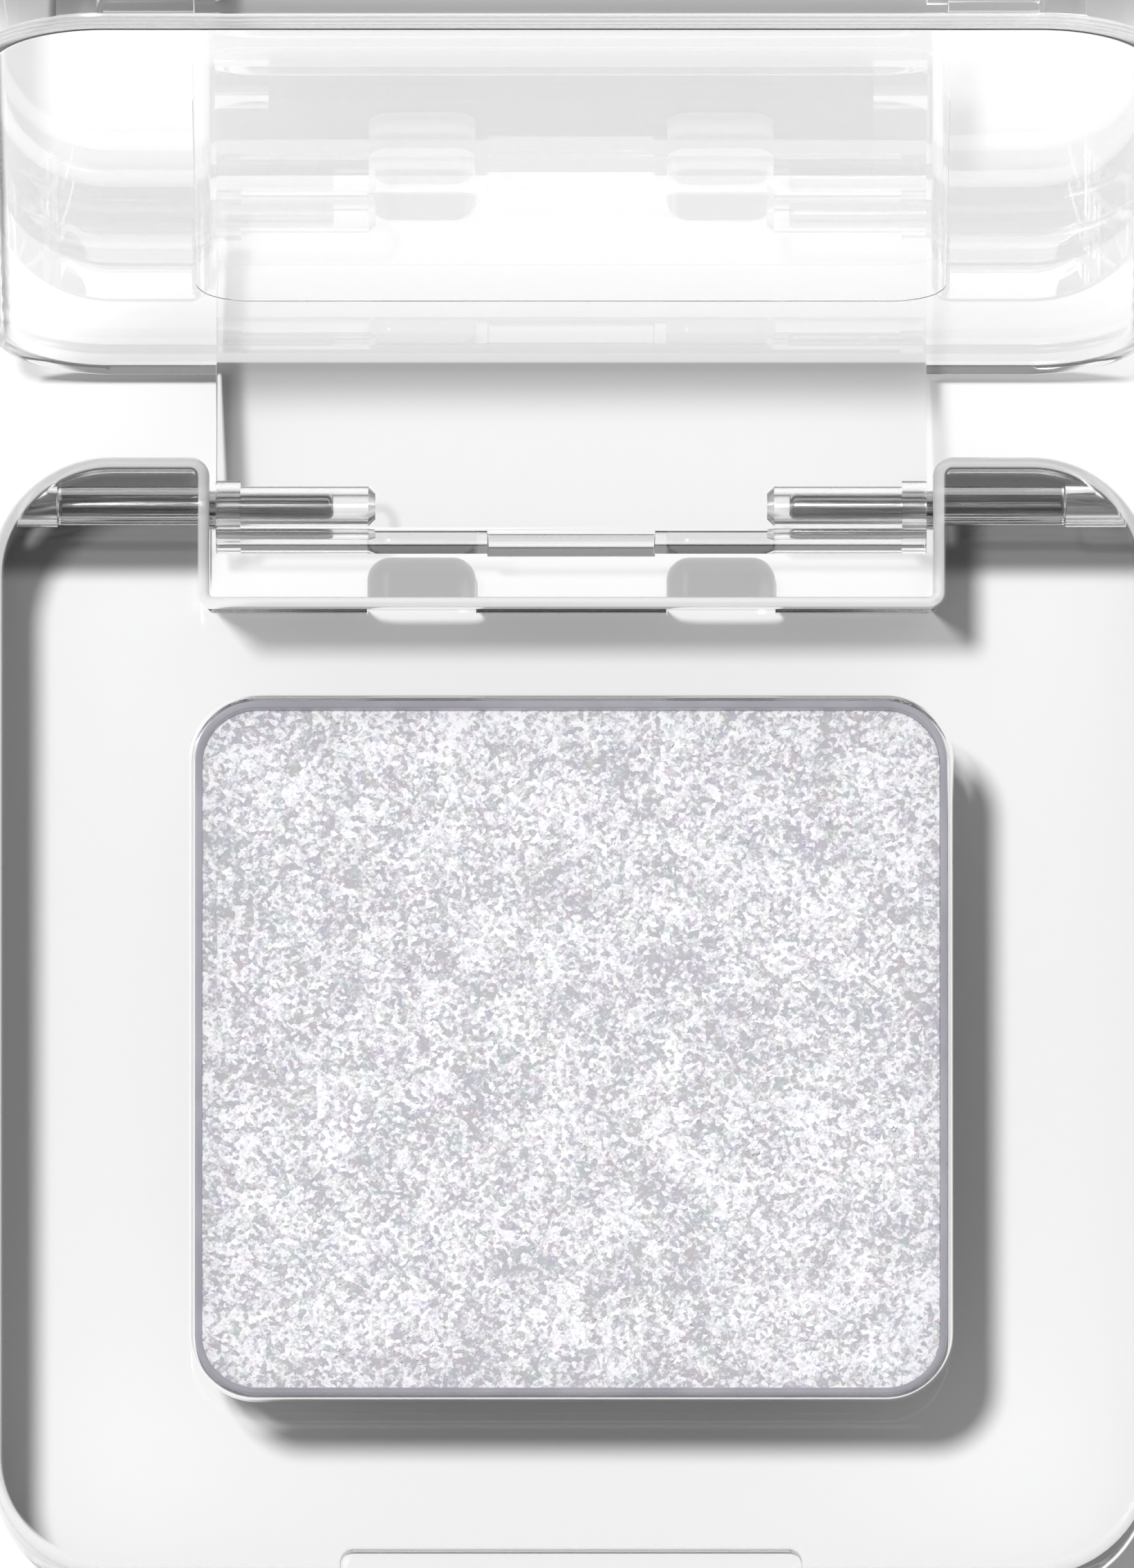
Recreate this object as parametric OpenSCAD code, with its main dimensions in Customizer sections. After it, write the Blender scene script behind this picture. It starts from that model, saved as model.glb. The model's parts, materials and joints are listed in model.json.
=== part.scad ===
// Square single-pan compact: a thick clear base with a pressed-powder pan,
// and a clear slab lid whose wide tongue turns on two driven steel pins.
// The lid is drawn open, leaning back on the two stop tabs of the base.

/* [Case] */
// Width of the case, left to right
case_w = 41.4; // [38:0.2:60]
// Depth of the case, front to back
case_d = 40; // [38:0.2:60]
// Radius of the four plan corners
corner_r = 4.3; // [3:0.1:6]
// Height of the clear base
base_h = 8.6; // [8.2:0.1:12]
// Rounding of the edges where the base and the lid meet
edge_r = 0.5; // [0.3:0.05:0.8]
// Rounding of the base's bottom edge
foot_r = 0.3; // [0.1:0.05:0.6]

/* [Lid] */
// Thickness of the lid slab
lid_t = 2.5; // [2:0.1:4]
// Rounding of the lid's outer top edge
lid_top_r = 0.8; // [0.4:0.1:1.1]
// Gap between the base and the closed lid
lid_gap = 0.15; // [0.1:0.05:0.3]
// Depth of the shallow recess over the pan
relief_h = 0.2; // [0.1:0.1:1]
// How far the recess reaches past the powder on each side
relief_over = 0.2; // [0:0.1:0.8]
// How far the lid is open
open_angle = 102.4; // [90:0.2:104]

/* [Hinge] */
// Width of the lid's tongue
tongue_w = 25.4; // [23:0.2:28]
// Thickness of the tongue
tongue_t = 2.9; // [2.6:0.1:3.2]
// Plastic under the pin axis at the tongue's end
tongue_end = 1.2; // [1.1:0.05:1.4]
// Rounding of the tongue's inner edge at that end
tongue_r = 0.1; // [0.05:0.05:0.5]
// Width of the tongue's stiff middle rib
rib_w = 6; // [3:0.5:8]
// How far the middle rib reaches past the tongue's end
rib_out = 0.13; // [0.05:0.01:0.2]
// Depth of the pin axis below the top of the base
hinge_drop = 5.3; // [5:0.1:6]
// Side gap between the tongue and its notch
notch_gap = 0.2; // [0.1:0.05:0.4]
// Depth of the notch, from the back face
notch_d = 5; // [4.8:0.1:6]
// Rounding of the ears' upright corners at the notch
ear_r = 0.7; // [0.4:0.1:1]

/* [Pins] */
// Diameter of the steel pins
pin_d = 1.4; // [1.2:0.05:1.5]
// Length of one pin
pin_len = 9.9; // [8:0.1:10.2]
// Rounding of the pin ends
pin_end_r = 0.25; // [0.1:0.05:0.4]
// Radial running gap of a pin in the tongue
pin_gap = 0.04; // [0.02:0.01:0.08]
// Depth of a blind bore in the tongue
bore_depth = 5.7; // [5.5:0.1:7]
// Length of the cone at the end of that bore
bore_tip = 0.25; // [0.1:0.05:0.5]
// Diameter of the widened mouth of a tongue bore
mouth_d = 1.9; // [1.7:0.05:2.1]
// Depth of that mouth
mouth_depth = 0.9; // [0.4:0.1:1.2]
// How much wider the driving hole is outside a driven pin
drive_gap = 0.07; // [0.02:0.01:0.1]
// Free bore left past the inner end of the left pin
left_free = 1.5; // [1:0.1:2]
// Free bore left past the inner end of the right pin
right_free = 0.8; // [0.5:0.1:2]

/* [Stops] */
// Width of a stop tab
tab_w = 3.9; // [2:0.1:5]
// Distance of the tab centres from the middle
tab_x = 5.35; // [4:0.05:8]
// Plan corner radius of a tab
tab_r = 0.85; // [0.3:0.05:1.2]
// How far a tab's top lies below the pin axis
tab_drop = 1; // [0.9:0.05:1.1]
// Gap between a tab and the open tongue
tab_gap = 0.03; // [0.02:0.01:0.1]

/* [Pan] */
// Width of the pan's recess in the base
well_w = 27; // [20:0.2:30]
// Depth of the pan's recess, front to back
well_l = 25; // [20:0.2:28]
// How far the recess lies in front of the case's middle
well_shift = 1.15; // [0.5:0.05:2]
// Plan corner radius of the recess
well_r = 2.3; // [1.5:0.1:4]
// Gap between the pan and its recess
pan_gap = 0.1; // [0.05:0.05:0.2]
// Height of the metal pan
pan_h = 3.5; // [2.5:0.1:4.5]
// Wall of the metal pan
pan_wall = 0.25; // [0.2:0.05:0.4]
// Outer rounding of the pan's bottom edge
pan_foot_r = 0.6; // [0.5:0.1:1]
// How far the pan's rim lies below the top of the base
pan_sink = 0.1; // [0.05:0.05:0.4]
// How far the powder lies below the pan's rim
powder_sink = 1.2; // [0.5:0.1:1.6]
// Thickness of the adhesive under the pan
glue_t = 0.15; // [0.1:0.05:0.3]
// How far the adhesive stays inside the pan's edge
glue_inset = 2.5; // [1:0.5:6]

/* [Thumb recess] */
// Width of the thumb recess in the front edge
thumb_w = 16.4; // [10:0.2:24]
// How deep it cuts in from the front face
thumb_in = 0.9; // [0.5:0.1:1.5]
// Its height below the top of the base
thumb_h = 1.6; // [0.8:0.1:2.5]

/* [Hidden] */
$fn = 96;
eps = 0.01;                                  // overlap that keeps cuts clean
over = 1;                                    // how far a cutter runs past a face
hinge_y = case_d / 2 - tongue_t / 2;
hinge_z = base_h - hinge_drop;
notch_w = tongue_w + 2 * notch_gap;
notch_y = case_d / 2 - notch_d;              // the notch's front wall
lid_z = base_h + lid_gap;                    // underside of the closed lid
pin_r = pin_d / 2;
tongue_top = lid_z + lid_t / 2 - hinge_z;    // the tongue runs up into the lid
tongue_bore_r = pin_r + pin_gap;
bore_end = tongue_w / 2 - bore_depth;
left_pin_x = -bore_end - left_free - pin_len;    // outer end of the left pin
right_pin_x = bore_end + right_free;             // inner end of the right pin
well_floor = base_h - pan_sink - pan_h - glue_t;
pan_z = well_floor + glue_t;
pan_w = well_w - 2 * pan_gap;
pan_l = well_l - 2 * pan_gap;
pan_r = well_r - pan_gap;
powder_w = pan_w - 2 * pan_wall;
powder_l = pan_l - 2 * pan_wall;
powder_r = pan_r - pan_wall;
powder_h = pan_h - pan_wall - powder_sink;
powder_foot_r = pan_foot_r - pan_wall;
// the open tongue's outer corner touches the tabs here
corner_reach = norm([tongue_t / 2, tongue_end]);
corner_fall = 180 - atan(tongue_end / (tongue_t / 2)) - open_angle;
tab_tip_y = hinge_y - corner_reach * cos(corner_fall) - tab_gap;
tab_top = hinge_z - tab_drop;

// A flat rectangle with round corners, centred
module rounded_plan(w, l, r) {
    square([w - 2 * r, l], center = true);
    square([w, l - 2 * r], center = true);
    for (x = [-1, 1], y = [-1, 1])
        translate([x * (w / 2 - r), y * (l / 2 - r)]) circle(r);
}

// An upright plate with that plan, from z = 0 up
module plate(w, l, r, h) {
    linear_extrude(h) rounded_plan(w, l, r);
}

// The same plate with its top edge rounded by e
module eased_plate(w, l, r, h, e) {
    plate(w, l, r, h - e);
    plate(w - 2 * e, l - 2 * e, r - e, h);
    for (y = [-1, 1])
        translate([0, y * (l / 2 - e), h - e])
            rotate([0, 90, 0]) cylinder(r = e, h = w - 2 * r, center = true);
    for (x = [-1, 1])
        translate([x * (w / 2 - e), 0, h - e])
            rotate([90, 0, 0]) cylinder(r = e, h = l - 2 * r, center = true);
    for (x = [-1, 1], y = [-1, 1])
        translate([x * (w / 2 - r), y * (l / 2 - r), h - e])
            rotate_extrude() translate([r - e, 0]) circle(e);
}

// The same plate with both its edges rounded, by top_e and bottom_e
module pebble(w, l, r, h, top_e, bottom_e) {
    translate([0, 0, bottom_e]) eased_plate(w, l, r, h - bottom_e, top_e);
    dish(w, l, r, h - top_e, bottom_e);
}

// The same plate with only its bottom edge rounded by e
module dish(w, l, r, h, e) {
    translate([0, 0, h]) mirror([0, 0, 1]) eased_plate(w, l, r, h, e);
}

// What comes off a long edge along +X to round it by r: the edge is at the
// origin, with the plastic towards -Y and -Z
module edge_cut(len, r) {
    translate([-len / 2, 0, 0]) rotate([90, 0, 90]) linear_extrude(len) difference() {
        translate([-r, -r]) square(r + over);
        translate([-r, -r]) circle(r);
    }
}

// A round hole or rod along X, from x0 to x1 on the pin axis
module on_axis(r, x0, x1) {
    translate([x0, hinge_y, hinge_z]) rotate([0, 90, 0]) cylinder(r = r, h = x1 - x0);
}

module notch_cut() {
    translate([-notch_w / 2, notch_y, -over]) cube([notch_w, notch_d + over, base_h + 2 * over]);
    translate([0, notch_y, base_h]) edge_cut(notch_w + 2 * edge_r, edge_r);
    for (side = [-1, 1]) {
        translate([side * notch_w / 2, (notch_y - edge_r + case_d / 2) / 2, base_h])
            rotate([0, 0, side * 90]) edge_cut(notch_d + edge_r + eps, edge_r);
        translate([side * notch_w / 2, case_d / 2, base_h / 2])
            rotate([0, side > 0 ? 90 : -90, 0]) mirror([0, 0, 1]) edge_cut(base_h + over, ear_r);
    }
}

module stop_tab() {
    tab_l = tab_tip_y - notch_y;
    linear_extrude(tab_top) {
        translate([-tab_w / 2, -over]) square([tab_w, tab_l - tab_r + over]);
        translate([-tab_w / 2 + tab_r, -over]) square([tab_w - 2 * tab_r, tab_l + over]);
        for (side = [-1, 1])
            translate([side * (tab_w / 2 - tab_r), tab_l - tab_r]) circle(tab_r);
    }
}

module thumb_cut() {
    translate([0, -case_d / 2, base_h - thumb_h]) linear_extrude(thumb_h + over) {
        translate([-thumb_w / 2, -over]) square([thumb_w, over + thumb_in / 2]);
        translate([-thumb_w / 2 + thumb_in / 2, 0]) square([thumb_w - thumb_in, thumb_in]);
        for (side = [-1, 1])
            translate([side * (thumb_w - thumb_in) / 2, thumb_in / 2]) circle(thumb_in / 2);
    }
}

module base() {
    color("aliceblue") {
        difference() {
            pebble(case_w, case_d, corner_r, base_h, edge_r, foot_r);
            notch_cut();
            thumb_cut();
            translate([0, -well_shift, well_floor]) plate(well_w, well_l, well_r, base_h);
            on_axis(pin_r, left_pin_x, -notch_w / 2 + over);
            on_axis(pin_r, notch_w / 2 - over, right_pin_x + pin_len);
            on_axis(pin_r + drive_gap, -case_w / 2 - over, left_pin_x);
            on_axis(pin_r + drive_gap, right_pin_x + pin_len, case_w / 2 + over);
        }
        for (side = [-1, 1]) translate([side * tab_x, notch_y, 0]) stop_tab();
    }
}

// The tongue or its rib, with its end below the pin axis
module tongue(w, end) {
    translate([-w / 2, hinge_y, hinge_z]) rotate([90, 0, 90]) linear_extrude(w) {
        translate([-tongue_t / 2, tongue_r - end]) square([tongue_t, tongue_top + end - tongue_r]);
        translate([tongue_r - tongue_t / 2, -end]) square([tongue_t - tongue_r, end]);
        translate([tongue_r - tongue_t / 2, tongue_r - end]) circle(tongue_r);
    }
}

// The lid as it lies when closed
module closed_lid() {
    difference() {
        union() {
            translate([0, 0, lid_z]) pebble(case_w, case_d, corner_r, lid_t, lid_top_r, edge_r);
            tongue(tongue_w, tongue_end);
            tongue(rib_w, tongue_end + rib_out);
        }
        translate([0, -well_shift, lid_z - over])
            plate(powder_w + 2 * relief_over, powder_l + 2 * relief_over, powder_r, relief_h + over);
        for (side = [-1, 1]) mirror([side < 0 ? 1 : 0, 0, 0]) {
            on_axis(tongue_bore_r, bore_end + bore_tip, tongue_w / 2 + over);
            translate([bore_end, hinge_y, hinge_z]) rotate([0, 90, 0])
                cylinder(r1 = tongue_bore_r - bore_tip, r2 = tongue_bore_r, h = bore_tip);
            on_axis(mouth_d / 2, tongue_w / 2 - mouth_depth, tongue_w / 2 + over);
        }
    }
}

module lid() {
    color("aliceblue")
        translate([0, hinge_y, hinge_z]) rotate([-open_angle, 0, 0])
            translate([0, -hinge_y, -hinge_z]) closed_lid();
}

// A pin with rounded ends, its first end at x0
module pin(x0) {
    color("silver")
        translate([x0, hinge_y, hinge_z]) rotate([0, 90, 0]) rotate_extrude() {
            translate([0, pin_end_r]) square([pin_r, pin_len - 2 * pin_end_r]);
            square([pin_r - pin_end_r, pin_len]);
            for (z = [pin_end_r, pin_len - pin_end_r])
                translate([pin_r - pin_end_r, z]) circle(pin_end_r);
        }
}

module left_hinge_pin() { pin(left_pin_x); }

module right_hinge_pin() { pin(right_pin_x); }

module powder_pan() {
    color("lightgray")
        translate([0, -well_shift, pan_z]) difference() {
            dish(pan_w, pan_l, pan_r, pan_h, pan_foot_r);
            translate([0, 0, pan_wall]) dish(powder_w, powder_l, powder_r, pan_h, powder_foot_r);
        }
}

module pressed_powder() {
    color("lavender")
        translate([0, -well_shift, pan_z + pan_wall])
            dish(powder_w, powder_l, powder_r, powder_h, powder_foot_r);
}

module pan_adhesive() {
    color("whitesmoke")
        translate([0, -well_shift, well_floor])
            plate(pan_w - 2 * glue_inset, pan_l - 2 * glue_inset, pan_r, glue_t);
}

base();
lid();
left_hinge_pin();
right_hinge_pin();
powder_pan();
pressed_powder();
pan_adhesive();
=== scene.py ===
import bpy
import json
import numpy as np
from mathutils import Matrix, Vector


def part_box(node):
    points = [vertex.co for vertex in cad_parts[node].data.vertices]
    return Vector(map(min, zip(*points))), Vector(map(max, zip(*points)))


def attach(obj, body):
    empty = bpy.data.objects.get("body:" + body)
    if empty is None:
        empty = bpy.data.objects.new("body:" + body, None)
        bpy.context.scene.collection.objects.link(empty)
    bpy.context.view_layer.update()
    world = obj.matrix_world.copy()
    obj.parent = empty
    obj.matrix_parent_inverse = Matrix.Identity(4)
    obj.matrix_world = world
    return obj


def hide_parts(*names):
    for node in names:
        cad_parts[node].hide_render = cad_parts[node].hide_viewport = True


mm = 0.001
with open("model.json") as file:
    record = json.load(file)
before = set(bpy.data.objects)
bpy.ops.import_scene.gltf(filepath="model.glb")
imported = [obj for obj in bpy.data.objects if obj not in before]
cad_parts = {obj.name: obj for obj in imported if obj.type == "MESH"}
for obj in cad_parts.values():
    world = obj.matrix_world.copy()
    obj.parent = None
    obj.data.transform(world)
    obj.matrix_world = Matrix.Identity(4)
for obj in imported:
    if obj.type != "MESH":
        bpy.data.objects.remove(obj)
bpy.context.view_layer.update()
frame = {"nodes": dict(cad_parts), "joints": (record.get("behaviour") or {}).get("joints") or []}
print("frame loaded")

# places and sizes are in millimetres, unless a note says otherwise
def nodeBox(node):
    low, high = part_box(node)
    return np.array(low) / mm, np.array(high) / mm

baseLow, baseHigh = nodeBox("base")
panLow, panHigh = nodeBox("powder_pan")
powderLow, powderHigh = nodeBox("pressed_powder")
lidHinge = frame["joints"][0]
hingeY, hingeZ = np.array(lidHinge["pos_m"])[1:] / mm
openAngle = lidHinge["range_deg"][1]
caseW, caseD, caseH = baseHigh - baseLow
scene = bpy.context.scene

cameraView = {
    "target": (-0.15, 8.26, 8.6),       # middle of the frame
    "elevation": 84.88,                 # degrees above the horizon, from the front
    "distance": 1800,
    "frameHeight": 55.87,               # what the frame takes in at the target
    "sensor": 36,
    "clip": (0.05, 20),                 # in metres
}

def makeCamera(v):
    data = bpy.data.cameras.new("camera")
    data.sensor_fit = "VERTICAL"
    data.sensor_height = v["sensor"]
    data.lens = data.sensor_height * v["distance"] / v["frameHeight"]
    data.clip_start, data.clip_end = v["clip"]
    camera = bpy.data.objects.new("camera", data)
    scene.collection.objects.link(camera)
    tilt = np.radians(v["elevation"])
    back = Vector((0, -np.cos(tilt), np.sin(tilt)))
    camera.location = (Vector(v["target"]) + back * v["distance"]) * mm
    camera.rotation_euler = back.to_track_quat("Z", "Y").to_euler()
    scene.camera = camera

makeCamera(cameraView)

# points and outward normals of an outline: arcs (x, y, radius, from, to in degrees) joined by
# straight lines; an arc that runs clockwise is a hollow corner
def outlineOf(arcs, steps):
    points, normals = [], []
    for x, y, r, start, end in arcs:
        t = np.radians(np.linspace(start, end, steps))
        way = np.stack([np.cos(t), np.sin(t)], 1)
        points.append(np.array([x, y]) + r * way)
        normals.append(way * np.sign(end - start))
    return np.concatenate(points), np.concatenate(normals)

# the outline of a rectangle with round corners
def roundedRect(w, l, r, x=0, y=0, steps=24):
    a, b = w / 2 - r, l / 2 - r
    return outlineOf([(x + a, y - b, r, 270, 360), (x + a, y + b, r, 0, 90),
                      (x - a, y + b, r, 90, 180), (x - a, y - b, r, 180, 270)], steps)

# (inset, height) pairs round a quarter circle about (inset, height)
def quarter(inset, z, r, start, end, steps=9):
    t = np.radians(np.linspace(start, end, steps))
    return np.stack([inset + r * np.cos(t), z + r * np.sin(t)], 1)

# the profile of a wall with both edges rounded
def wallProfile(z0, z1, lowR, highR, steps=9):
    return np.concatenate([quarter(lowR, z0 + lowR, lowR, 270, 180, steps),
                           quarter(highR, z1 - highR, highR, 180, 90, steps)])

# faces of a grid of rings that close on themselves, with a flat end at both ends
def ringFaces(rows, count):
    k, i = np.meshgrid(np.arange(rows - 1), np.arange(count), indexing="ij")
    j = (i + 1) % count
    quads = np.stack([k * count + i, k * count + j, (k + 1) * count + j, (k + 1) * count + i], -1)
    faces = quads.reshape(-1, 4).tolist()
    faces.append(np.arange(count)[::-1].tolist())
    faces.append((np.arange(count) + (rows - 1) * count).tolist())
    return faces

# a mesh of points in millimetres, as an object at the origin
def newPiece(name, points, faces):
    mesh = bpy.data.meshes.new(name)
    mesh.from_pydata((points * mm).reshape(-1, 3), [], faces)
    mesh.update()
    piece = bpy.data.objects.new(name, mesh)
    scene.collection.objects.link(piece)
    return piece

# a profile carried round an outline: each ring is the outline moved in along its normals by
# the profile's inset, at the profile's height
def swept(name, outline, profile, alongX=False):
    points, normals = outline
    flat = points[None] - normals[None] * profile[:, None, :1]
    height = np.broadcast_to(profile[:, None, 1:], flat.shape[:2] + (1,))
    order = [height, flat] if alongX else [flat, height]
    grid = np.concatenate(order, 2)
    return newPiece(name, grid, ringFaces(*grid.shape[:2]))

# a profile of (x, radius) turned round an axis along X
def turned(name, profile, y, z, steps=64):
    profile = np.array(profile, float)
    t = np.linspace(0, 2 * np.pi, steps, endpoint=False)
    x = np.broadcast_to(profile[:, :1], (len(profile), steps))
    grid = np.stack([x, y + profile[:, 1:] * np.cos(t), z + profile[:, 1:] * np.sin(t)], 2)
    return newPiece(name, grid, ringFaces(*grid.shape[:2]))

# a bore's cutter on the hinge axis, on the side that way names
def turnedBore(profile, way):
    profile = np.array(profile) * [way, 1]
    return turned("bore", profile[::way], hingeY, hingeZ)

# adds or cuts the other pieces, which go
def combine(piece, others, operation):
    for other in others:
        modifier = piece.modifiers.new(operation, "BOOLEAN")
        modifier.operation = operation
        modifier.solver = "EXACT"
        modifier.object = other
    graph = bpy.context.evaluated_depsgraph_get()
    mesh = bpy.data.meshes.new_from_object(piece.evaluated_get(graph))
    piece.modifiers.clear()
    piece.data = mesh
    for other in others:
        bpy.data.objects.remove(other)

def smooth(piece, angle=35):
    piece.data.polygons.foreach_set("use_smooth", np.ones(len(piece.data.polygons), bool))
    piece.data.set_sharp_from_angle(angle=np.radians(angle))
    weighted = piece.modifiers.new("evenNormals", "WEIGHTED_NORMAL")
    weighted.keep_sharp = True
    weighted.weight = 90

# turns a piece about the hinge axis, by degrees
def turnAboutHinge(piece, angle):
    points = np.empty(len(piece.data.vertices) * 3, np.float32)
    piece.data.vertices.foreach_get("co", points)
    points = points.reshape(-1, 3) / mm
    y, z = points[:, 1] - hingeY, points[:, 2] - hingeZ
    c, s = np.cos(np.radians(angle)), np.sin(np.radians(angle))
    points[:, 1], points[:, 2] = hingeY + y * c - z * s, hingeZ + y * s + z * c
    piece.data.vertices.foreach_set("co", (points * mm).ravel())
    piece.data.update()

def finishPiece(piece, body, slot, material, *nodes):
    piece.data.materials.clear()
    piece.data.materials.append(material)
    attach(piece, body)
    if nodes:
        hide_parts(*nodes)
    return piece

# wraps a socket, so that an expression on values adds its Math nodes
class Value:
    def __init__(self, tree, socket):
        self.tree, self.socket = tree, socket

    def math(self, operation, *others, clamp=False):
        inputs = dict(enumerate((self, *others)))
        settings = {"operation": operation, "use_clamp": clamp}
        return self.tree.node("ShaderNodeMath", settings, inputs)[0]

    def __add__(self, other):
        return self.math("ADD", other)

    def __radd__(self, other):
        return self.math("ADD", other)

    def __mul__(self, other):
        return self.math("MULTIPLY", other)

    def __rmul__(self, other):
        return self.math("MULTIPLY", other)

    def __sub__(self, other):
        return self.math("SUBTRACT", other)

    def __rsub__(self, other):
        return (self * -1) + other

# one material's or world's node tree, and the only way that its nodes are made
class Finish:
    def __init__(self, owner, ending="ShaderNodeOutputMaterial"):
        owner.use_nodes = True
        self.owner, self.ending = owner, ending
        self.nodes, self.links = owner.node_tree.nodes, owner.node_tree.links
        self.nodes.clear()

    def node(self, kind, settings=None, inputs=None):
        made = self.nodes.new(kind)
        for key, value in (settings or {}).items():
            setattr(made, key, value)
        for key, value in (inputs or {}).items():
            if isinstance(value, Value):
                self.links.new(value.socket, made.inputs[key])
            else:
                made.inputs[key].default_value = value
        return [Value(self, socket) for socket in made.outputs if socket.enabled]

    def principled(self, **inputs):
        named = {key.replace("_", " "): value for key, value in inputs.items()}
        return self.node("ShaderNodeBsdfPrincipled", {}, named)[0]

    # where the point lies in the object, in metres
    def place(self):
        return self.node("ShaderNodeTexCoord")[3]

    # its three values
    def axes(self):
        return self.node("ShaderNodeSeparateXYZ", {}, {0: self.place()})

    # the place, scaled by (x, y, z)
    def stretched(self, *scale):
        return self.node("ShaderNodeVectorMath", {"operation": "MULTIPLY"},
                         {0: self.place(), 1: scale})[0]

    def noise(self, at, scale, detail=2.0):
        return self.node("ShaderNodeTexNoise", {}, {"Vector": at, "Scale": scale, "Detail": detail})

    # a value carried from one range to another, softly
    def fit(self, value, low, high, to=(0.0, 1.0)):
        return self.node("ShaderNodeMapRange", {"interpolation_type": "SMOOTHSTEP"},
                         {0: value, 1: low, 2: high, 3: to[0], 4: to[1]})[0]

    # a colour between two others
    def blend(self, share, first, second, how="MIX"):
        return self.node("ShaderNodeMix", {"data_type": "RGBA", "blend_type": how},
                         {0: share, 6: first, 7: second})[0]

    # 1 where the value lies between two others
    def within(self, value, low, high):
        return value.math("GREATER_THAN", low) * value.math("LESS_THAN", high)

    def mixed(self, share, first, second):
        return self.node("ShaderNodeMixShader", {}, {0: share, 1: first, 2: second})[0]

    def matt(self, colour):
        return self.node("ShaderNodeBsdfDiffuse", {}, {0: colour})[0]

    def bump(self, height, distance, strength=1.0):
        return self.node("ShaderNodeBump", {},
                         {"Height": height, "Distance": distance, "Strength": strength})[0]

    def end(self, surface):
        output = self.nodes.new(self.ending)
        self.links.new(surface.socket, output.inputs["Surface"])
        return self.owner

noiseSpan = (0.3, 0.7)                  # the range that most of a noise's values fill

def newFinish(name):
    return Finish(bpy.data.materials.new(name))

def grey(value, alpha=1):
    return (value, value, value, alpha)

clearCase = {
    "tint": (0.998, 0.999, 1.0, 1),
    "index": 1.49,
    "passed": 0.985,                    # light that a wall lets through to what lies under it
    "block": (0.40, 0.62),              # cosines between which a slanting wall turns light away
    "flowScale": 140, "flowDepth": 0.0000012, "flowSpan": (0.3, 0.8), "flowRough": (0.0, 0.01),
    "wall": (0.03, 0.12), "face": (0.995, 0.96),    # cosines between which a rounded edge lies
    "edgeRough": 0.22, "paintedEdgeShare": 0.62,    # rougher than the polished faces, and partly painted a pale matt grey as a painted highlight
    "paintedEdgeGrey": 0.74,
    # metres from the middle and from the floor, beyond which the rounded edges get the painted
    # highlight
    "paintedEdgeX": 0.0145, "paintedEdgeY": 0.0140, "paintedEdgeZ": 0.0080,
}

# polished clear plastic. Light for what lies under it passes walls that face it, and walls
# that it only grazes turn it away, apart from the share that the piece's own function gives
# from where the point lies; up is the way that the piece's broad face looks
def clearPlastic(name, v, up, ownShare):
    f = newFinish(name)
    flow = f.noise(f.place(), v["flowScale"], 1.0)[0]
    facing = f.node("ShaderNodeVectorMath", {"operation": "DOT_PRODUCT"},
                    {0: f.node("ShaderNodeTexCoord")[1], 1: up})[0].math("ABSOLUTE")
    edge = f.fit(facing, *v["wall"]) * f.fit(facing, *v["face"])
    rough = edge * v["edgeRough"] + f.fit(flow, *v["flowSpan"], v["flowRough"])
    glass = f.principled(Base_Color=v["tint"], Roughness=rough, IOR=v["index"],
                         Transmission_Weight=1.0, Normal=f.bump(flow, v["flowDepth"]))
    x, y, z = f.axes()
    # painted highlight: rounded edges high above the floor and away from the middle get a share of
    # matt pale grey, which stands in for the bright surroundings that they bend in
    outward = (x.math("ABSOLUTE") - v["paintedEdgeX"]).math("MAXIMUM", y.math("ABSOLUTE") - v["paintedEdgeY"])
    paintedEdgeLight = edge * z.math("GREATER_THAN", v["paintedEdgeZ"]) * outward.math("GREATER_THAN", 0)
    glass = f.mixed(paintedEdgeLight * v["paintedEdgeShare"], glass, f.matt(grey(v["paintedEdgeGrey"])))
    cosine = 1 - f.node("ShaderNodeLayerWeight", {}, {"Blend": 0.5})[1]
    share = ownShare(f, f.fit(cosine, *v["block"]))
    passed = f.node("ShaderNodeBsdfTransparent", {}, {0: grey(v["passed"])})[0]
    light = f.mixed(share, f.matt(grey(0)), passed)
    shadow, diffuse = f.node("ShaderNodeLightPath")[1:3]
    return f.end(f.mixed(shadow, f.mixed(diffuse, glass, light), light))

steelLook = {
    "colour": 0.5, "darker": 0.8, "rough": (0.09, 0.20), "lineDepth": 0.0000005,
    "along": 300, "across": 26000,      # drawing lines run along the pin
}

def steel(name, v):
    f = newFinish(name)
    lines = f.noise(f.stretched(v["along"], v["across"], v["across"]), 1.0, 3.0)[0]
    tone = f.blend(f.fit(lines, *noiseSpan), grey(v["colour"] * v["darker"]), grey(v["colour"]))
    return f.end(f.principled(Base_Color=tone, Metallic=1.0,
                              Roughness=f.fit(lines, *noiseSpan, v["rough"]),
                              Normal=f.bump(lines, v["lineDepth"])))

panLook = {
    "dark": (0.40, 0.39, 0.44, 1), "bright": (0.48, 0.47, 0.52, 1), "metallic": 0.45,
    "grain": 30000, "grainDepth": 0.000003, "cloud": 400, "rough": (0.35, 0.45),
}

def panMetal(name, v):
    f = newFinish(name)
    grain = f.noise(f.place(), v["grain"], 3.0)[0]
    cloud = f.noise(f.place(), v["cloud"])[0]
    tone = f.blend(f.fit(cloud, *noiseSpan), v["dark"], v["bright"])
    return f.end(f.principled(Base_Color=tone, Metallic=v["metallic"],
                              Roughness=f.fit(grain, *noiseSpan, v["rough"]),
                              Normal=f.bump(grain, v["grainDepth"])))

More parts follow.
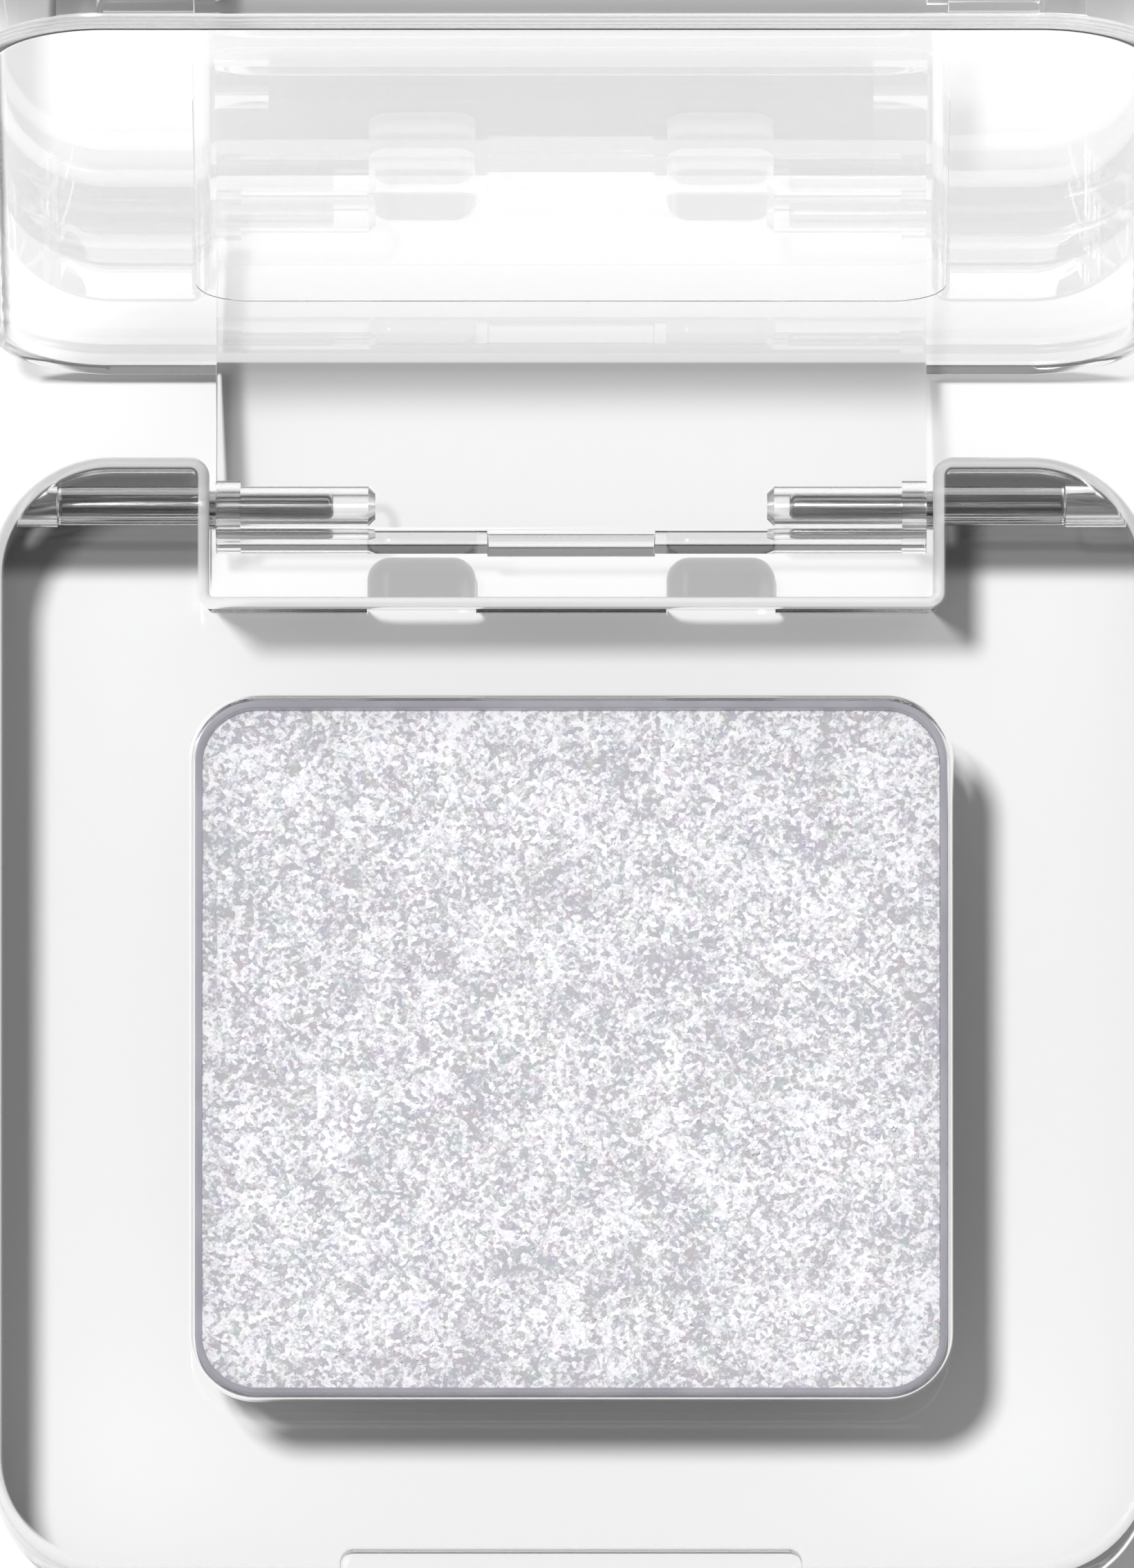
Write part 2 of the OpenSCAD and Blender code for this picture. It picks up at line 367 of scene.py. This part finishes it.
glitterLook = {
    "dark": (0.445, 0.44, 0.475, 1), "bright": (0.85, 0.845, 0.87, 1),
    "cells": 6200, "fineCells": 13000,  # per metre
    "bend": 9000, "bendBy": 0.00007,    # the cells' edges wander
    "cloud": 600, "cloudShare": 0.75, "coarseShare": 0.62, "fineShare": 0.38,
    "levels": (0.18, 0.86),
    "tintCells": 2300, "tintShare": 0.07, "flakeLift": 0.22,
    "rough": (0.25, 0.6), "sheen": 0.6,
    "coarseRelief": 0.6, "fineRelief": 0.4, "relief": 0.00002, "reliefShare": 0.5,
}

# pressed glitter: cells of flakes of many greys, some of them tinted; lift makes them paler
def glitter(name, v, lift):
    f = newFinish(name)
    swirl = f.noise(f.place(), v["bend"], 1.0)[1]
    moved = f.node("ShaderNodeVectorMath", {"operation": "MULTIPLY_ADD"},
                   {0: swirl, 1: (v["bendBy"],) * 3, 2: f.place()})[0]
    def cells(scale):
        return f.node("ShaderNodeTexVoronoi", {"voronoi_dimensions": "2D"},
                      {"Vector": moved, "Scale": scale})[1]
    coarse = f.node("ShaderNodeSeparateColor", {}, {0: cells(v["cells"])})
    fine = f.node("ShaderNodeSeparateColor", {}, {0: cells(v["fineCells"])})
    cloud = f.noise(f.place(), v["cloud"])[0] - 0.5
    level = coarse[0] * v["coarseShare"] + fine[0] * v["fineShare"] + cloud * v["cloudShare"] + lift
    tone = f.blend(f.fit(level, *v["levels"]), v["dark"], v["bright"])
    tone = f.blend(v["tintShare"], tone, cells(v["tintCells"]), "SOFT_LIGHT")
    rough = f.fit(coarse[1], 0.0, 1.0, v["rough"])
    height = coarse[2] * v["coarseRelief"] + fine[2] * v["fineRelief"]
    return f.end(f.principled(Base_Color=tone, Roughness=rough, Specular_IOR_Level=v["sheen"],
                              Normal=f.bump(height, v["relief"], v["reliefShare"])))

tapeLook = {
    "pale": (0.82, 0.82, 0.80, 1), "fibre": (0.70, 0.70, 0.68, 1),
    "across": 1500, "along": 9000, "span": (0.35, 0.65), "rough": 0.7, "relief": 0.00001,
}

def tape(name, v):
    f = newFinish(name)
    fibres = f.noise(f.stretched(v["across"], v["along"], v["across"]), 1.0, 4.0)[0]
    return f.end(f.principled(Base_Color=f.blend(f.fit(fibres, *v["span"]), v["pale"], v["fibre"]),
                              Roughness=v["rough"], Normal=f.bump(fibres, v["relief"])))

# clear base
baseShape = {
    "cornerR": 4.3, "topR": 0.5, "footR": 0.3, "steps": 24,
    "notchW": 25.8, "notchD": 5.0, "earR": 0.7, "notchCornerR": 0.15,
    "tabW": 3.9, "tabX": 5.35, "tabR": 0.85, "tabTop": 2.3, "tabTip": 17.037, "tabEdgeR": 0.8,
    "tabFootR": 0.1, "tabLift": 0.004,
    "wellW": 27, "wellL": 25, "wellY": -1.15, "wellR": 2.3, "wellFloor": 4.85, "wellEdgeR": 0.15,
    "wellFootR": 0.2,
    "thumbW": 16.4, "thumbIn": 0.9, "thumbH": 1.6, "thumbR": 0.45, "thumbEdgeR": 0.15,
    "thumbFootR": 0.3,
    "boreR": 0.69, "driveR": 0.77,      # the pin's bore, and the wider one behind its outer end
    "mouth": 0.08, "mouthLong": 0.06,   # how much wider the bore starts, and for how long
    "pinInside": 0.1, "driveStep": 0.05,
    "past": 1,                          # how far a cutter runs past what it cuts
}

# a rectangle with round corners, less the notch between the two ears
def baseOutline(v):
    r, ear, hollow = v["cornerR"], v["earR"], v["notchCornerR"]
    a, b = caseW / 2 - r, caseD / 2 - r
    side, back, front = v["notchW"] / 2, caseD / 2, caseD / 2 - v["notchD"]
    return outlineOf([
        (-a, -b, r, 180, 270), (a, -b, r, 270, 360), (a, b, r, 0, 90),
        (side + ear, back - ear, ear, 90, 180), (side - hollow, front + hollow, hollow, 0, -90),
        (hollow - side, front + hollow, hollow, -90, -180), (-side - ear, back - ear, ear, 0, 90),
        (-a, b, r, 90, 180)], v["steps"])

# the profile of a cutter whose top flares out, which rounds the edge that it leaves at z1
def flaredProfile(z0, z1, lowR, edgeR, past):
    flare = quarter(-edgeR, z1 - edgeR, edgeR, 0, 80)
    return np.concatenate([quarter(lowR, z0 + lowR, lowR, 270, 180), flare,
                           [[flare[-1, 0], z1 + past]]])

# the outline carried up a rounded wall, plus the stop tabs, less the pan's well, the thumb
# recess and the pins' bores
def clearBase(v):
    body = swept("clear_base", baseOutline(v), wallProfile(0, caseH, v["footR"], v["topR"]))
    past, front = v["past"], -caseD / 2
    tabLow, tabHigh = -front - v["notchD"] - past, v["tabTip"]
    tabWall = wallProfile(v["tabLift"], v["tabTop"], v["tabFootR"], v["tabEdgeR"])
    tabs = [swept("tab", roundedRect(v["tabW"], tabHigh - tabLow, v["tabR"], x,
                                     (tabLow + tabHigh) / 2), tabWall)
            for x in (-v["tabX"], v["tabX"])]
    combine(body, tabs, "UNION")
    well = swept("well", roundedRect(v["wellW"], v["wellL"], v["wellR"], 0, v["wellY"]),
                 flaredProfile(v["wellFloor"], caseH, v["wellFootR"], v["wellEdgeR"], past))
    thumbLow, thumbHigh = front - 2 * past, front + v["thumbIn"]
    thumb = swept("thumb", roundedRect(v["thumbW"], thumbHigh - thumbLow, v["thumbR"], 0,
                                       (thumbLow + thumbHigh) / 2),
                  flaredProfile(caseH - v["thumbH"], caseH, v["thumbFootR"], v["thumbEdgeR"], past))
    side, face, r, driveR = v["notchW"] / 2, caseW / 2, v["boreR"], v["driveR"]
    outer = (nodeBox("left_hinge_pin")[0][0], nodeBox("right_hinge_pin")[1][0])
    bores = []
    for way, end in zip((-1, 1), outer):
        stop = abs(end) - v["pinInside"]
        bore = [(side - past, r + v["mouth"]), (side, r + v["mouth"]), (side + v["mouthLong"], r),
                (stop, r), (stop + v["driveStep"], driveR), (face + past, driveR)]
        bores.append(turnedBore(bore, way))
    combine(body, [well, thumb, *bores], "DIFFERENCE")
    smooth(body)
    return body

# in metres: light and shade placed by position, not cast by the shape. Light passes the notch's
# left wall and some of its front wall, as painted light on the floor beside them; little of it gets
# under the ears, and less than elsewhere under the tabs, as painted shadow
lightInBase = {
    "leftWall": (-0.0136, -0.01285), "frontWall": (0.0148, 0.01502), "frontShare": 0.35,
    "earFront": (0.0159, 0.0168), "earBack": (0.0191, 0.0181), "earX": 0.01285, "earShare": 0.22,
    "tabX": (0.0033, 0.0074), "tabY": (0.01503, 0.01712), "tabShare": 0.5,
    "foot": 0.0002,
}

def baseShare(f, share):
    v = lightInBase
    x, y, z = f.axes()
    away = x.math("ABSOLUTE")
    behind = y.math("GREATER_THAN", v["frontWall"][1])
    share = share.math("MAXIMUM", f.within(x, *v["leftWall"]) * behind)
    inFront = f.within(y, *v["frontWall"]) * away.math("LESS_THAN", v["earX"])
    share = share.math("MAXIMUM", inFront * v["frontShare"])
    tab = f.within(away, *v["tabX"]) * f.within(y, *v["tabY"])
    foot = z.math("LESS_THAN", v["foot"])
    # painted shadow under the ears and the tabs, placed by position
    ear = f.fit(y, *v["earFront"]) * f.fit(y, *v["earBack"])
    ear = ear * away.math("GREATER_THAN", v["earX"]) * foot
    share = share.math("MAXIMUM", tab) * (1 - ear * (1 - v["earShare"]))
    return share * (1 - tab * foot * (1 - v["tabShare"]))

basePlastic = clearPlastic("clearBase", clearCase, (0, 0, 1), baseShare)
finishPiece(clearBase(baseShape), "case", "clear_case", basePlastic, "base")
print("base ready")

# clear lid, made closed and then opened
lidShape = {
    "gap": 0.15, "thick": 2.5, "rimR": 0.5, "topR": 0.8, "cornerR": 4.3,
    "tongueW": 25.4, "tongueT": 2.9, "tongueEnd": 1.2, "tongueR": 0.1, "tongueSideR": 0.06,
    "tongueBackR": 0.15, "tongueBack": 0.002, "steps": 12, "sideSteps": 5,
    "ribW": 6, "ribOut": 0.13, "ribLess": 0.004,
    "reliefW": 26.7, "reliefL": 24.7, "reliefR": 2.0, "reliefH": 0.03, "reliefY": -1.15,
    "reliefLip": 0.004,
    "boreR": 0.74, "boreDepth": 5.7, "boreTip": 0.25,
    "mouthR": 0.95, "mouthDepth": 0.9, "mouthStep": 0.02,
    "past": 1,
}

# the tongue or its rib, drawn in side view and carried along X
def tongueBar(v, width, end, less):
    front, back = hingeY - v["tongueT"] / 2 + less, caseD / 2 - v["tongueBack"] - less
    low, high = hingeZ - end, caseH + v["gap"] + v["thick"] / 2 - less
    soft, small, sideR = v["tongueR"], v["tongueBackR"], v["tongueSideR"]
    outline = outlineOf([(front + soft, low + soft, soft, 180, 270),
                         (back - small, low + small, small, 270, 360),
                         (back - small, high - small, small, 0, 90),
                         (front + small, high - small, small, 90, 180)], v["steps"])
    profile = wallProfile(-width / 2, width / 2, sideR, sideR, v["sideSteps"])
    return swept("tongue", outline, profile, True)

# a rounded rectangle carried up a rounded wall, plus the tongue and its rib, less the shallow
# relief and the bores, and turned about the hinge
def clearLid(v):
    low = caseH + v["gap"]
    slab = swept("clear_lid", roundedRect(caseW, caseD, v["cornerR"]),
                 wallProfile(low, low + v["thick"], v["rimR"], v["topR"]))
    combine(slab, [tongueBar(v, v["tongueW"], v["tongueEnd"], 0),
                   tongueBar(v, v["ribW"], v["tongueEnd"] + v["ribOut"], v["ribLess"])], "UNION")
    slope = [(0, low - v["past"]), (0, low + v["reliefLip"]),
             (v["reliefH"] * 2, low + v["reliefH"])]
    relief = swept("relief", roundedRect(v["reliefW"], v["reliefL"], v["reliefR"], 0, v["reliefY"]),
                   np.array(slope))
    face, r, tip, mouthR = v["tongueW"] / 2, v["boreR"], v["boreTip"], v["mouthR"]
    end, mouth = face - v["boreDepth"], face - v["mouthDepth"]
    bore = [(end, r - tip), (end + tip, r), (mouth, r), (mouth + v["mouthStep"], mouthR),
            (face + v["past"], mouthR)]
    bores = [turnedBore(bore, way) for way in (-1, 1)]
    combine(slab, [relief, *bores], "DIFFERENCE")
    turnAboutHinge(slab, -openAngle)
    smooth(slab)
    return slab

# in metres: even grazed walls of the slab let most light through, which paints out most of the
# lid's shadow; under the tongue, painted shadow placed by position lets little fall along its left
# side, and less towards the slab
lidLight = {
    "slabShare": 0.75,
    "underZ": 0.0026, "underY": (0.0186, 0.0240),
    "leftBand": (-0.0116, -0.0122), "leftShare": 0.28,
    "towardsSlab": (0.0218, 0.0238), "slabShade": 0.42,
}

def lidShare(f, share):
    v = lidLight
    x, y, z = f.axes()
    under = z.math("LESS_THAN", v["underZ"]) * f.within(y, *v["underY"])
    left = f.fit(x, *v["leftBand"]) * under
    near = f.fit(y, *v["towardsSlab"]) * under
    shade = (1 - left * (1 - v["leftShare"])) * (1 - near * (1 - v["slabShade"]))
    return share.math("MAXIMUM", v["slabShare"]) * shade

opened = np.radians(-openAngle)
lidUp = (0, -np.sin(opened), np.cos(opened))
lidLook = {**clearCase, "tint": (0.965, 0.966, 0.967, 1), "paintedEdgeZ": 1.0}    # the painted highlight on the edges is kept off; the tint, a shade darker than the base's, is painted shade that dims the lid
lidPlastic = clearPlastic("clearLid", lidLook, lidUp, lidShare)
finishPiece(clearLid(lidShape), "cover", "clear_lid", lidPlastic, "lid")
print("lid ready")

# hinge pins
pinShape = {"endR": 0.25, "endSteps": 8, "steps": 96}

# a straight line with a quarter circle at both ends, turned round the hinge axis
def hingePin(node, v):
    low, high = nodeBox(node)
    radius, r = (high[2] - low[2]) / 2, v["endR"]
    t = np.radians(np.linspace(90, 0, v["endSteps"]))
    tip = np.stack([low[0] + r - r * np.sin(t), radius - r + r * np.cos(t)], 1)
    profile = np.concatenate([tip, (tip * [-1, 1] + [low[0] + high[0], 0])[::-1]])
    pin = turned(node + "_steel", profile, hingeY, hingeZ, v["steps"])
    smooth(pin)
    # the plastic around it spreads its shadow away
    pin.visible_shadow = pin.visible_diffuse = False
    return pin

pinSteel = steel("pinSteel", steelLook)
for node in ("left_hinge_pin", "right_hinge_pin"):
    finishPiece(hingePin(node, pinShape), "case", "pin_steel", pinSteel, node)
print("pins ready")

# pan
panShape = {"wall": 0.25, "footR": 0.6, "cornerR": 2.2, "rimOuterR": 0.08, "rimInnerR": 0.03}

# a rounded rectangle carried round the pan's section: up the outside, over the rim and down
# the inside to the floor
def metalPan(v):
    w, l = (panHigh - panLow)[:2]
    middle = (panLow + panHigh) / 2
    z0, z1, wall, foot = panLow[2], panHigh[2], v["wall"], v["footR"]
    outer, inner, hollow = v["rimOuterR"], v["rimInnerR"], foot - wall
    rim = np.concatenate([quarter(outer, z1 - outer, outer, 180, 90),
                          quarter(wall - inner, z1 - inner, inner, 90, 0, 5)])
    profile = np.concatenate([quarter(foot, z0 + foot, foot, 270, 180), rim,
                              quarter(wall + hollow, z0 + wall + hollow, hollow, 180, 270)])
    pan = swept("drawn_pan", roundedRect(w, l, v["cornerR"], middle[0], middle[1]), profile)
    smooth(pan)
    # the powder casts the shadow, so that the bright rim leaves none on it
    pan.visible_shadow = False
    return pan

finishPiece(metalPan(panShape), "case", "pan_metal", panMetal("panMetal", panLook), "powder_pan")

# powder
powderShape = {
    "cornerR": 1.95, "footR": 0.35, "edgeR": 0.05,
    "sunk": 0.01,                       # of the face below the solid's, so that the flakes fit
    "waves": 40, "waveHeight": 0.004, "pitch": (0.6, 4.0),      # the face is not quite flat
    "fade": 0.6,                        # from the edge, within which the waves start
    "step": 0.2, "lastRing": 0.02,      # of its rings; the last one's share of the outline
    "flakes": 6500, "flakeR": (0.035, 0.10), "corners": 6, "uneven": 0.3, "reach": (0.7, 1.15),
    "flakeTilt": 0.26, "flakeRise": 0.012, "flakeRoot": 0.05, "flakeMargin": 0.06,
    "seed": 7,
}

# heights of the pressed face: a sum of slow waves in random directions
def pressedHeights(x, y, v):
    dice = np.random.default_rng(v["seed"])
    heights = np.zeros_like(x)
    low, high = (0, v["pitch"][0], 0), (np.pi, v["pitch"][1], 2 * np.pi)
    for turn, pitch, phase in dice.uniform(low, high, (v["waves"], 3)):
        heights += np.sin((x * np.cos(turn) + y * np.sin(turn)) * 2 * np.pi / pitch + phase)
    return heights * v["waveHeight"]

# how far inside a rounded rectangle's edge a point lies
def insideBy(x, y, w, l, r):
    a, b = np.abs(x) - (w / 2 - r), np.abs(y) - (l / 2 - r)
    return r - np.hypot(np.maximum(a, 0), np.maximum(b, 0)) - np.minimum(np.maximum(a, b), 0)

# a rounded rectangle carried up a rounded wall, and then inwards over the wavy face
def powderCake(v):
    w, l = (powderHigh - powderLow)[:2]
    middle, top = (powderLow + powderHigh)[:2] / 2, powderHigh[2] - v["sunk"]
    points, normals = roundedRect(w, l, v["cornerR"], *middle)
    # rings that shrink from the edge to the middle, so that the face follows its outline
    rings = int((l / 2 - v["cornerR"]) / v["step"])
    share = np.linspace(1, v["lastRing"], rings)[:, None, None]
    flat = middle + (points - middle) * share
    edge = np.minimum(1, (1 - share[..., 0]) * l / 2 / v["fade"])
    high = top + pressedHeights(flat[..., 0], flat[..., 1], v) * edge
    profile = wallProfile(powderLow[2], top, v["footR"], v["edgeR"])[:-1]
    side = points[None] - normals[None] * profile[:, None, :1]
    side = np.concatenate([side, np.broadcast_to(profile[:, None, 1:], side.shape[:2] + (1,))], 2)
    face = np.concatenate([flat, high[..., None]], 2)[1:]
    grid = np.concatenate([side, face])
    cake = newPiece("powder_cake", grid, ringFaces(*grid.shape[:2]))
    smooth(cake)
    return cake

# small closed plates of irregular outline, pressed into the face at random tilts
def glitterFlakes(v):
    w, l = (powderHigh - powderLow)[:2]
    middle = (powderLow + powderHigh)[:2] / 2
    dice = np.random.default_rng(v["seed"] + 1)
    n, k, small, large = v["flakes"], v["corners"], *v["flakeR"]
    x, y = dice.uniform(-w / 2, w / 2, n), dice.uniform(-l / 2, l / 2, n)
    radius = small + (large - small) * dice.random(n) ** 2
    keep = insideBy(x, y, w, l, v["cornerR"]) > radius + v["flakeMargin"]
    x, y, radius, n = x[keep] + middle[0], y[keep] + middle[1], radius[keep], int(keep.sum())
    corner = np.arange(k) + dice.uniform(-v["uneven"], v["uneven"], (n, k))
    angle = corner * 2 * np.pi / k + dice.uniform(0, 6, (n, 1))
    reach = radius[:, None] * dice.uniform(*v["reach"], (n, k))
    px, py = reach * np.cos(angle), reach * np.sin(angle)
    lean = dice.normal(0, v["flakeTilt"], (n, 2))
    z = (powderHigh[2] - v["sunk"] + pressedHeights(x, y, v))[:, None]
    upper = z + v["flakeRise"] + px * lean[:, :1] + py * lean[:, 1:]
    lower = np.broadcast_to(z - v["flakeRoot"], (n, k))
    px, py = x[:, None] + px, y[:, None] + py
    plates = np.stack([np.stack([px, py, heights], 2) for heights in (upper, lower)], 1)
    start = np.arange(n)[:, None] * 2 * k
    i, j = np.arange(k), (np.arange(k) + 1) % k
    around = np.stack([i, i + k, j + k, j], 1)
    faces = (start[:, None] + around[None]).reshape(-1, 4).tolist()
    faces += (start + i).tolist() + (start + i[::-1] + k).tolist()
    return newPiece("glitter_flakes", plates, faces)

cakeGlitter = glitter("glitterPowder", glitterLook, 0.0)
flakeGlitter = glitter("glitterFlakes", glitterLook, glitterLook["flakeLift"])
finishPiece(powderCake(powderShape), "case", "glitter_powder", cakeGlitter, "pressed_powder")
finishPiece(glitterFlakes(powderShape), "case", "glitter_powder", flakeGlitter)
glue = frame["nodes"]["pan_adhesive"]
glue.data.materials.clear()
glue.data.materials.append(tape("adhesiveTape", tapeLook))
print("pan and powder ready")

# floor, lamp and world
studio = {
    "floorColour": (0.93, 0.93, 0.93, 1),
    "floorSize": 1.2,
    "underFloor": -0.00003,
    "skyLight": 0.42,
    "keyStrength": 2.7,
    "keySpread": 6.5,                   # degrees
    "keyUnder": (-0.2, 0.175, 1),       # towards the lamp, as its light runs inside the plastic
    "keyInAir": (-0.31, 0.27, 1),
    "softbox": 1.2, "softboxSpan": (16, 10),    # degrees between which it fades in
    # what bent and mirrored rays see, and where one part of it gives way to the next
    "low": 0.95, "ceiling": 0.36, "backCeiling": 0.10, "front": 0.06,
    "heights": (0.45, 0.75), "backSpan": (0.12, 0.35), "frontSpan": (-0.1, -0.4),
    "backdrop": 0.94,                   # what the camera sees beyond the floor
}

def makeFloor(v):
    s = v["floorSize"]
    floor = newPiece("floor", np.array([(-s, -s, 0), (s, -s, 0), (s, s, 0), (-s, s, 0)]) / mm,
                     [(0, 1, 2, 3)])
    floor.location.z = v["underFloor"]
    f = newFinish("paleFloor")
    floor.data.materials.append(f.end(f.matt(v["floorColour"])))

def makeKey(v):
    sun = bpy.data.lights.new("key", "SUN")
    sun.energy, sun.angle = v["keyStrength"], np.radians(v["keySpread"])
    lamp = bpy.data.objects.new("key", sun)
    lamp.visible_glossy = False         # the world holds the lamp that metal and plastic mirror
    lamp.rotation_euler = Vector(v["keyUnder"]).to_track_quat("Z", "Y").to_euler()
    scene.collection.objects.link(lamp)

# light for the surfaces is even; bent and mirrored rays see a white horizon, a grey ceiling, a
# dark front, where the camera stands, and the soft lamp; the camera sees a backdrop as pale as
# the floor
def makeWorld(v):
    f = Finish(bpy.data.worlds.new("studio"), "ShaderNodeOutputWorld")
    def glow(colour, strength=1.0):
        return f.node("ShaderNodeBackground", {}, {0: colour, 1: strength})[0]
    place = f.node("ShaderNodeTexCoord")[0]
    x, y, height = f.node("ShaderNodeSeparateXYZ", {}, {0: place})
    ceiling = f.blend(f.fit(y, *v["backSpan"]), grey(v["ceiling"]), grey(v["backCeiling"]))
    room = f.blend(f.fit(height, *v["heights"]), grey(v["low"]), ceiling)
    room = f.blend(f.fit(y, *v["frontSpan"]), room, grey(v["front"]))
    towards = f.node("ShaderNodeVectorMath", {"operation": "DOT_PRODUCT"},
                     {0: place, 1: Vector(v["keyInAir"]).normalized()})[0]
    lamp = f.fit(towards, *np.cos(np.radians(v["softboxSpan"])), (0.0, v["softbox"]))
    lamp = f.node("ShaderNodeCombineColor", {}, {0: lamp, 1: lamp, 2: lamp})[0]
    seen = glow(f.blend(1.0, room, lamp, "ADD"))
    path = f.node("ShaderNodeLightPath")
    camera, bent = path[0], path[3].math("MAXIMUM", path[6])
    light = f.mixed(bent, glow(grey(1), v["skyLight"]), seen)
    scene.world = f.end(f.mixed(camera, light, glow(grey(v["backdrop"]))))

makeFloor(studio)
makeKey(studio)
makeWorld(studio)
scene.view_settings.view_transform = "Standard"
cycles = scene.cycles
cycles.max_bounces = 24
cycles.transmission_bounces = 20
cycles.glossy_bounces = 12
cycles.diffuse_bounces = 2
cycles.transparent_max_bounces = 16
cycles.caustics_reflective = False
cycles.caustics_refractive = False
print("studio ready")
